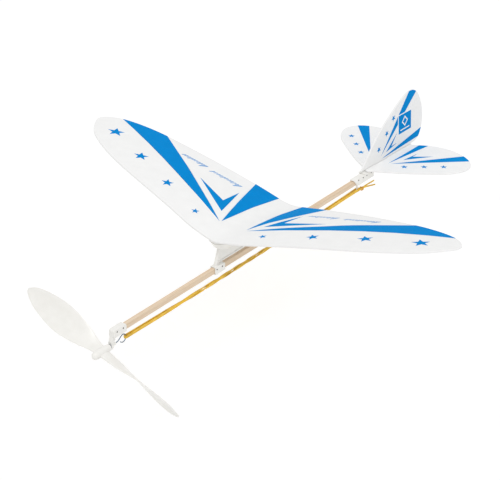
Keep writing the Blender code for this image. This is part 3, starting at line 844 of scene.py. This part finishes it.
def make_tail_fitting(plastic, painted_hole_shade):
    rear = TAIL_SLEEVE_REAR
    side = [(180.8, SLEEVE_Z), (rear, SLEEVE_Z), (rear, -SLEEVE_Z), (188.0, -SLEEVE_Z), (185.4, -1.5)]
    under = TAIL_THICKNESS + GAP
    platform = [(199.0, stab_top(199.0) - under), (250.0, stab_top(250.0) - under),
                (250.0, stab_top(250.0) - under - 1.3), (rear - 2.0, 3.5), (199.0, 3.5)]
    front_side, rear_side, root = POST_Y - POST_RADIUS, POST_Y + POST_RADIUS, -SLEEVE_Z + 0.3
    toe = POST_Y + 3.2
    post = [(front_side, root), (rear_side, root), (rear_side, -12.0), (toe, -12.6), (toe, -13.7),
            (front_side, -13.3)]
    half = TAIL_THICKNESS / 2 + GAP
    slot = block("slot", (-half, TAB_FRONT - GAP, 0.0), (half, TAB_REAR + GAP, 9.0))
    mesh = joined("tail_fitting", slab("sleeve", side, -SLEEVE_X, SLEEVE_X, SLEEVE_ROUND),
                  [slab("platform", platform, -4.2, 4.2, 0.2),
                   slab("post", post, -POST_RADIUS, POST_RADIUS, 0.35)],
                  [stick_pocket(175.0, STICK_REAR + GAP), slot]
                  + pin_holes(TAIL_PIN_HOLES, TAIL_PIN_HOLE_Z))
    paint_shade_in_pin_holes(mesh, TAIL_PIN_HOLES, TAIL_PIN_HOLE_Z)
    made = add_piece("tail_fitting", mesh, (plastic, painted_hole_shade), "airframe", "moulded_plastic", "tail_clip")
    even_normals(made)


def axis_matrix():
    """From the thrust line's own frame, with its Y axis along the line, to the stick's frame."""
    return Matrix.Translation(HOOK_CENTRE * MM) @ Matrix.Rotation(DOWN_THRUST, 4, "X")


def blade_mesh(name):
    """Blade along +X whose pitch follows a helix, with a rounded nose and a thin rear edge."""
    around = 12
    rings = []
    for radius, half in spline(HALF_CHORD, 6):
        pitch = math.atan2(PROP_PITCH, 2 * math.pi * radius)
        chord = Vector((0, math.sin(pitch), -math.cos(pitch)))
        normal = Vector((0, math.cos(pitch), math.sin(pitch)))
        thickness = 2.4 - 1.5 * min(1.0, radius / (0.6 * PROP_RADIUS))
        upper, lower = [], []
        for k in range(around + 1):
            w = -math.cos(math.pi * k / around)
            bow = PROP_CAMBER * 2 * half * (1 - w * w)
            skin = thickness / 2 * math.sqrt(max(0.0, 1 - w ** 4)) + 0.12
            centre = Vector((radius, 0, 0)) + chord * (w * half) + normal * bow
            upper.append(centre + normal * skin)
            lower.append(centre - normal * skin)
        rings.append(upper + lower[::-1])
    return loft(name, rings)


def make_propeller(plastic):
    h = PROP_CENTRE
    bore_end = h - 8.6
    profile = [(1.6, h - 11.9), (2.9, h - 10.9), (3.7, h - 9.0), (4.0, h - 6.0), (4.0, h + 3.0),
               (3.8, h + 6.0), (3.5, HUB_REAR - 0.5)]
    outside = ([(0.0, h - 12.2), (0.8, h - 12.15)] + spline(profile, 4)
               + [(3.4, HUB_REAR - 0.15), (3.1, HUB_REAR)])
    bore = [(BORE_RADIUS, HUB_REAR), (BORE_RADIUS, bore_end), (0.0, bore_end)]
    rings = []
    for radius, y in outside + bore:
        rings.append([Vector((a, y, b)) for a, b in circle(radius, 64)] if radius else [Vector((0, y, 0))])
    blades = []
    for name, turn in (("blade_a", -BLADE_ANGLE), ("blade_b", math.pi - BLADE_ANGLE)):
        mesh = blade_mesh(name)
        mesh.transform(Matrix.Translation((0, PROP_CENTRE * MM, 0)) @ Matrix.Rotation(turn, 4, "Y"))
        blades.append(mesh)
    mesh = joined("propeller_moulding", loft("hub", rings), blades)
    mesh.transform(axis_matrix())
    made = add_piece("propeller_moulding", mesh, (plastic,), "propeller_assembly", "moulded_plastic",
                     "propeller", smooth=50.0)
    even_normals(made)


def make_shaft(steel):
    bend = spline([(0, -10.5, 0.0), (0, -9.0, 0.0), (0, -7.8, 0.1), (0, -6.4, 0.55), (0, -5.0, 1.5),
                   (0, -3.9, 2.3)], 4)
    start, end, steps = math.radians(125), math.radians(-148), 48
    angles = [start + (end - start) * i / steps for i in range(steps + 1)]
    ring = [(0, HOOK_RADIUS * math.cos(a), HOOK_RADIUS * math.sin(a)) for a in angles]
    path = [(0, PROP_CENTRE - 8.0, 0)] + bend + ring[1:]
    mesh = sweep("shaft_wire", path, circle(WIRE_RADIUS, 16))
    mesh.transform(axis_matrix())
    add_piece("shaft_wire", mesh, (steel,), "propeller_assembly", "steel_wire", "prop_shaft")


def band_half(u):
    """Half the distance between the strands, from the hook (0) to the post (1)."""
    ends = BAND_AT_HOOK + (BAND_AT_POST - BAND_AT_HOOK) * u
    return ends + (BAND_WOUND - ends) * math.sin(math.pi * u) ** 0.35


def make_band(rubber):
    """Strip from the knot, round the hook and back, its two strands wound round each other."""
    start = HOOK_CENTRE + Vector((0, HOOK_RADIUS, 0))
    steps = 150
    strands = {1: [], -1: []}
    for i in range(steps + 1):
        u = i / steps
        ease = min(1.0, max(0.0, (u - 0.12) / 0.78))
        wind = 2 * math.pi * BAND_TURNS * ease * ease * (3 - 2 * ease)
        middle = Vector((0, start.y + (POST_Y - start.y) * u,
                         start.z + (BAND_POST_Z - start.z) * u - BAND_SAG * 4 * u * (1 - u)))
        away = Vector((math.cos(wind), 0, math.sin(wind)))
        for side, strand in strands.items():
            strand.append((middle + away * (side * band_half(u)), away * side))
    bend = []
    for i in range(1, 12):
        angle = math.pi * (i / 12 - 0.5)
        away = Vector((math.sin(angle), -math.cos(angle), 0))
        bend.append((start + away * BAND_AT_HOOK, away))

    def into_knot(side):
        away = Vector((side, 0, 0))
        return [(Vector((side * 1.35, POST_Y + 4.5, KNOT.z + 1.2)), away), (KNOT + away * 0.9, away)]

    turned = 1 if math.cos(2 * math.pi * BAND_TURNS) > 0 else -1
    whole = (into_knot(-turned)[::-1] + strands[-1][::-1] + bend + strands[1] + into_knot(turned))
    mesh = sweep("rubber_strip", [p for p, _ in whole], strip_section(STRIP_WIDTH, STRIP_THICKNESS),
                 facing=[away for _, away in whole],
                 scales=[0.4, 0.72] + [1.0] * (len(whole) - 4) + [0.72, 0.4])
    strip = add_piece("rubber_strip", mesh, (rubber,), None, "rubber", "rubber_band")
    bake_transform(strip)


def make_knot(rubber, shaded_knot_rubber):
    """Tight overhand knot, and the two free ends behind it."""
    loops = []
    for i in range(72):
        a = 2 * math.pi * i / 72
        loops.append(KNOT + Vector((0.60 * (math.sin(a) + 2 * math.sin(2 * a)), -1.1 * math.sin(3 * a),
                                    0.60 * (math.cos(a) - 2 * math.cos(2 * a)))))
    knot = sweep("knot", loops + loops[:2], circle(0.82, 12))
    # The knot takes a darker copy of the rubber, which paints the shade between its tight turns.
    add_piece("rubber_knot", knot, (shaded_knot_rubber,), "airframe", "rubber")
    for side, tip in ((-1, (-1.7, 223.8, -13.6)), (1, (1.9, 220.8, -15.9))):
        tip = Vector(tip)
        middle = Vector((side * 0.7, 207.0, KNOT.z - 0.3 - 0.4 * side))
        path = spline([tuple(KNOT + Vector((side * 0.4, 0.8, 0))), tuple(middle), tuple(tip)], 10)
        name = "rubber_end_port" if side > 0 else "rubber_end_starboard"
        add_piece(name, sweep(name, path, strip_section(1.5, 0.95, 0.36)), (rubber,), "airframe", "rubber")


def finish_frame_nodes(wood, steel):
    """Give the CAD pieces that stay their own finish."""
    for name, finish in (("motor_stick", wood), ("thrust_washer", steel)):
        node = bpy.data.objects[name]
        if not node.material_slots:
            node.data.materials.append(finish)
        for slot in node.material_slots:
            slot.material = finish


# ---------------------------------------------------------------- stage

def make_stage():
    low = min(corner[2] for corner in CAD_BOUNDS)
    mesh = new_mesh("floor", [(-4000, -4000, 0), (4000, -4000, 0), (4000, 4000, 0), (-4000, 4000, 0)],
                    [(0, 1, 2, 3)])
    floor = bpy.data.objects.new("floor", mesh)
    floor.location.z = low - 0.004
    bpy.context.scene.collection.objects.link(floor)
    nodes = Nodes("pale_floor", 0.8)
    nodes.set("Base Color", (0.9, 0.9, 0.9, 1.0))
    nodes.set("Specular IOR Level", 0.0)
    nodes.set("Emission Color", (1.0, 1.0, 1.0, 1.0))
    nodes.set("Emission Strength", 0.32)
    mesh.materials.append(nodes.material)
    floor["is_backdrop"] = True


def make_light():
    world = bpy.data.worlds.new("studio")
    world.use_nodes = True
    background = world.node_tree.nodes["Background"]
    background.inputs["Color"].default_value = (1.0, 1.0, 1.0, 1.0)
    background.inputs["Strength"].default_value = 0.80
    bpy.context.scene.world = world
    sun = bpy.data.lights.new("key", "SUN")
    sun.energy = 1.0
    sun.angle = math.radians(24)
    key = bpy.data.objects.new("key", sun)
    key.rotation_euler = Vector((0.30, -0.25, 0.92)).to_track_quat("Z", "Y").to_euler()
    bpy.context.scene.collection.objects.link(key)
    lit = bpy.data.collections.new("lit_by_key")
    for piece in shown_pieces():
        lit.objects.link(piece)
    key.light_linking.receiver_collection = lit


def make_camera():
    """Camera on the plane's port bow, above it, turned so that its view is level to 0.35 degrees."""
    azimuth, elevation, roll = math.radians(37.778), math.radians(29.123), math.radians(0.347)
    distance, aim_right, aim_up = 1.9322, 0.007336, 0.011857
    back = Vector((math.sin(azimuth) * math.cos(elevation), -math.cos(azimuth) * math.cos(elevation),
                   math.sin(elevation)))
    level = Vector((math.cos(azimuth), math.sin(azimuth), 0.0))
    raised = back.cross(level)
    right = level * math.cos(roll) + raised * math.sin(roll)
    up = raised * math.cos(roll) - level * math.sin(roll)
    camera = bpy.data.objects.new("camera", bpy.data.cameras.new("camera"))
    camera.data.sensor_width = 36.0
    camera.data.lens = 144.93
    camera.data.clip_start = 0.01
    place = Matrix.Translation(right * aim_right + up * aim_up + back * distance + SHIFT)
    camera.matrix_world = place @ Matrix((right, up, back)).transposed().to_4x4()
    bpy.context.scene.collection.objects.link(camera)
    bpy.context.scene.camera = camera
    bpy.context.scene.view_settings.view_transform = "Standard"


def make_all():
    foam = make_foam("foam_skin", (0.81, 0.81, 0.805), (0.85, 0.85, 0.845), 0.5, 0.4)
    ink = make_foam("blue_print", (0.0, 0.215, 0.57), (0.0, 0.24, 0.63), 0.7, 0.03)
    plastic = make_plastic()
    rubber = make_rubber("amber_rubber", [(0.34, (0.53, 0.31, 0.014)), (0.50, (0.74, 0.46, 0.028)),
                                          (0.66, (0.84, 0.57, 0.075))])
    # Darker, redder copy of the amber rubber for the knot: painted shade between the knot's tight turns.
    shaded_knot_rubber = make_rubber("knotted_rubber", [(0.34, (0.42, 0.19, 0.012)), (0.50, (0.62, 0.31, 0.03)),
                                             (0.66, (0.76, 0.43, 0.07))])
    # Near-black material for the inner faces of the blind pin holes: painted shade.
    painted_hole_shade = make_foam("pin_hole", (0.05, 0.043, 0.035), (0.08, 0.07, 0.055), 0.8, 0.1)
    steel = make_steel("drawn_wire", (0.27, 0.33, 0.40), 0.3)
    make_wing(foam, ink)
    make_stabiliser(foam, ink)
    make_fin(foam, ink)
    make_nose_bearing(plastic, painted_hole_shade)
    make_wing_fitting(plastic, painted_hole_shade)
    make_tail_fitting(plastic, painted_hole_shade)
    make_propeller(plastic)
    make_shaft(steel)
    make_band(rubber)
    make_knot(rubber, shaded_knot_rubber)
    finish_frame_nodes(make_wood(), make_steel("pressed_washer", (0.45, 0.47, 0.50), 0.35))
    make_stage()
    make_light()
    make_camera()


make_all()
